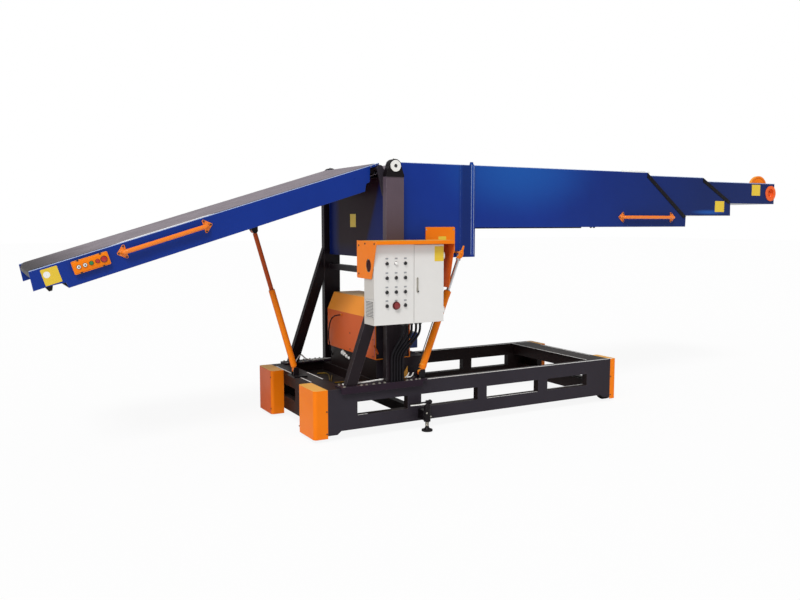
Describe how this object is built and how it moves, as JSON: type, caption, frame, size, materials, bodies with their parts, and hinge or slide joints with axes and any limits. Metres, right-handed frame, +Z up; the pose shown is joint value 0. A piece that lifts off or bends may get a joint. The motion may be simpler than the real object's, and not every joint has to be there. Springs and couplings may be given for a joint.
{
  "type": "telescopic belt conveyor",
  "caption": "Mobile telescopic belt conveyor: hinged nested boom, sloping infeed belt, lift cylinders and a control cabinet on a low ladder frame.",
  "frame": {"origin": "middle of the machine's whole footprint on the floor", "axes": "+X along the telescopic boom away from the sloping infeed conveyor, +Y away from the side that carries the control cabinet, +Z up"},
  "size_m": [6.9338, 1.465, 2.056],
  "materials": {
    "bare_steel": "turned steel",
    "belt": "dark grey belt cover",
    "black_rubber": "black rubber",
    "blue_paint": "semi-gloss deep blue enamel on folded sheet",
    "button_black": "black operator heads",
    "cabinet_paint": "light grey powder coat",
    "chrome_rod": "polished piston rod",
    "deck_steel": "bare slider bed sheet",
    "frame_paint": "dark grey textured enamel",
    "orange_paint": "semi-gloss orange enamel",
    "wheel_rubber": "solid tyre tread",
    "white_ring": "white bearing cap ring"
  },
  "bodies": {
    "base": {"bearing_blocks": "frame_paint", "bearing_rings": "white_ring", "cabinet_body": "cabinet_paint", "cabinet_buttons": "button_black", "cabinet_hood": "orange_paint", "cabinet_hoses": "black_rubber", "cover_cable": "black_rubber", "cross_members": "frame_paint", "drive_motor": "blue_paint", "end_frames": "frame_paint", "floor_tray": "frame_paint", "foot_clevises": "frame_paint", "levelling_jack": "frame_paint", "post_frames": "frame_paint", "power_unit_base": "frame_paint", "power_unit_cover": "orange_paint", "side_beds": "frame_paint", "side_frames": "frame_paint", "tail_pivot_plates": "frame_paint", "wheel_axles": "bare_steel", "wheel_covers": "orange_paint"},
    "boom": {"boom_sides": "blue_paint", "boom_floor": "frame_paint", "boom_bed": "deck_steel", "boom_belt": "belt", "boom_rollers": "bare_steel", "boom_pins": "bare_steel", "boom_handles": "orange_paint", "boom_side_plates": "orange_paint"},
    "section_2": {"section_2_sides": "blue_paint", "section_2_decks": "deck_steel", "section_2_belt": "belt", "section_2_rollers": "bare_steel"},
    "section_3": {"section_3_sides": "blue_paint", "section_3_decks": "deck_steel", "section_3_belt": "belt", "section_3_drums": "bare_steel", "section_3_rollers": "bare_steel", "nose_rings": "orange_paint", "tip_discs": "orange_paint"},
    "tail": {"tail_sides": "blue_paint", "tail_decks": "deck_steel", "tail_belt": "belt", "tail_rollers": "bare_steel", "tail_brackets": "frame_paint", "tail_handles": "orange_paint", "tail_control_box": "orange_paint", "tail_buttons": "button_black"},
    "lift_barrel_near": {"lift_barrel_near": "orange_paint"},
    "lift_barrel_far": {"lift_barrel_far": "orange_paint"},
    "lift_rod_near": {"lift_rod_near": "chrome_rod"},
    "lift_rod_far": {"lift_rod_far": "chrome_rod"},
    "strut_barrel": {"strut_barrel": "orange_paint"},
    "strut_rod": {"strut_rod": "orange_paint"},
    "cabinet_door": {"cabinet_door": "cabinet_paint"},
    "wheel_left_near": {"wheel_left_near": "wheel_rubber"},
    "wheel_left_far": {"wheel_left_far": "wheel_rubber"},
    "wheel_right_near": {"wheel_right_near": "wheel_rubber"},
    "wheel_right_far": {"wheel_right_far": "wheel_rubber"}
  },
  "joints": [
    {"name": "boom_hinge", "type": "hinge", "parent": "base", "child": "boom", "pos_m": [-1.00696, 0.1025, 1.998], "axis": [0, -1, 0], "range_deg": [-10, 10]},
    {"name": "section_2_slide", "type": "slide", "parent": "boom", "child": "section_2", "axis": [1, 0, 0], "range_m": [0, 1.5]},
    {"name": "section_3_slide", "type": "slide", "parent": "section_2", "child": "section_3", "axis": [1, 0, 0], "range_m": [0, 1.5]},
    {"name": "tail_hinge", "type": "hinge", "parent": "base", "child": "tail", "pos_m": [-1.10196, 0.1025, 1.979], "axis": [0, 1, 0], "range_deg": [-10, 8]},
    {"name": "lift_foot_near", "type": "hinge", "parent": "base", "child": "lift_barrel_near", "pos_m": [-0.76996, -0.47, 0.437], "axis": [0, -1, 0], "range_deg": [-4.46, 4.46]},
    {"name": "lift_rod_slide_near", "type": "slide", "parent": "lift_barrel_near", "child": "lift_rod_near", "axis": [0.3641, 0, 0.9313], "range_m": [-0.13721, 0.13721]},
    {"name": "lift_foot_far", "type": "hinge", "parent": "base", "child": "lift_barrel_far", "pos_m": [-0.76996, 0.675, 0.437], "axis": [0, -1, 0], "range_deg": [-4.46, 4.46]},
    {"name": "lift_rod_slide_far", "type": "slide", "parent": "lift_barrel_far", "child": "lift_rod_far", "axis": [0.3641, 0, 0.9313], "range_m": [-0.13721, 0.13721]},
    {"name": "strut_foot", "type": "hinge", "parent": "base", "child": "strut_barrel", "pos_m": [-1.57496, 0.1025, 0.437], "axis": [0, 1, 0], "range_deg": [-2.19, 2.61]},
    {"name": "strut_rod_slide", "type": "slide", "parent": "strut_barrel", "child": "strut_rod", "axis": [-0.2758, 0, 0.9612], "range_m": [-0.15368, 0.12334]},
    {"name": "door_hinge", "type": "hinge", "parent": "base", "child": "cabinet_door", "pos_m": [-0.69196, -0.6755, 1.14], "axis": [0, 0, 1], "range_deg": [0, 105]},
    {"name": "wheel_spin_left_near", "type": "hinge", "parent": "base", "child": "wheel_left_near", "pos_m": [-1.60696, -0.345, 0.1], "axis": [1, 0, 0], "continuous": true},
    {"name": "wheel_spin_left_far", "type": "hinge", "parent": "base", "child": "wheel_left_far", "pos_m": [-1.60696, 0.55, 0.1], "axis": [1, 0, 0], "continuous": true},
    {"name": "wheel_spin_right_near", "type": "hinge", "parent": "base", "child": "wheel_right_near", "pos_m": [1.19204, -0.381, 0.1], "axis": [1, 0, 0], "continuous": true},
    {"name": "wheel_spin_right_far", "type": "hinge", "parent": "base", "child": "wheel_right_far", "pos_m": [1.19204, 0.586, 0.1], "axis": [1, 0, 0], "continuous": true}
  ],
  "couplings": [
    {"joint": "lift_foot_near", "follows": "boom_hinge", "ratio": -0.39604},
    {"joint": "lift_rod_slide_near", "follows": "boom_hinge", "m_per_rad": 0.77468},
    {"joint": "lift_foot_far", "follows": "boom_hinge", "ratio": -0.39604},
    {"joint": "lift_rod_slide_far", "follows": "boom_hinge", "m_per_rad": 0.77468},
    {"joint": "strut_foot", "follows": "tail_hinge", "ratio": -0.21088},
    {"joint": "strut_rod_slide", "follows": "tail_hinge", "m_per_rad": 0.86906}
  ]
}
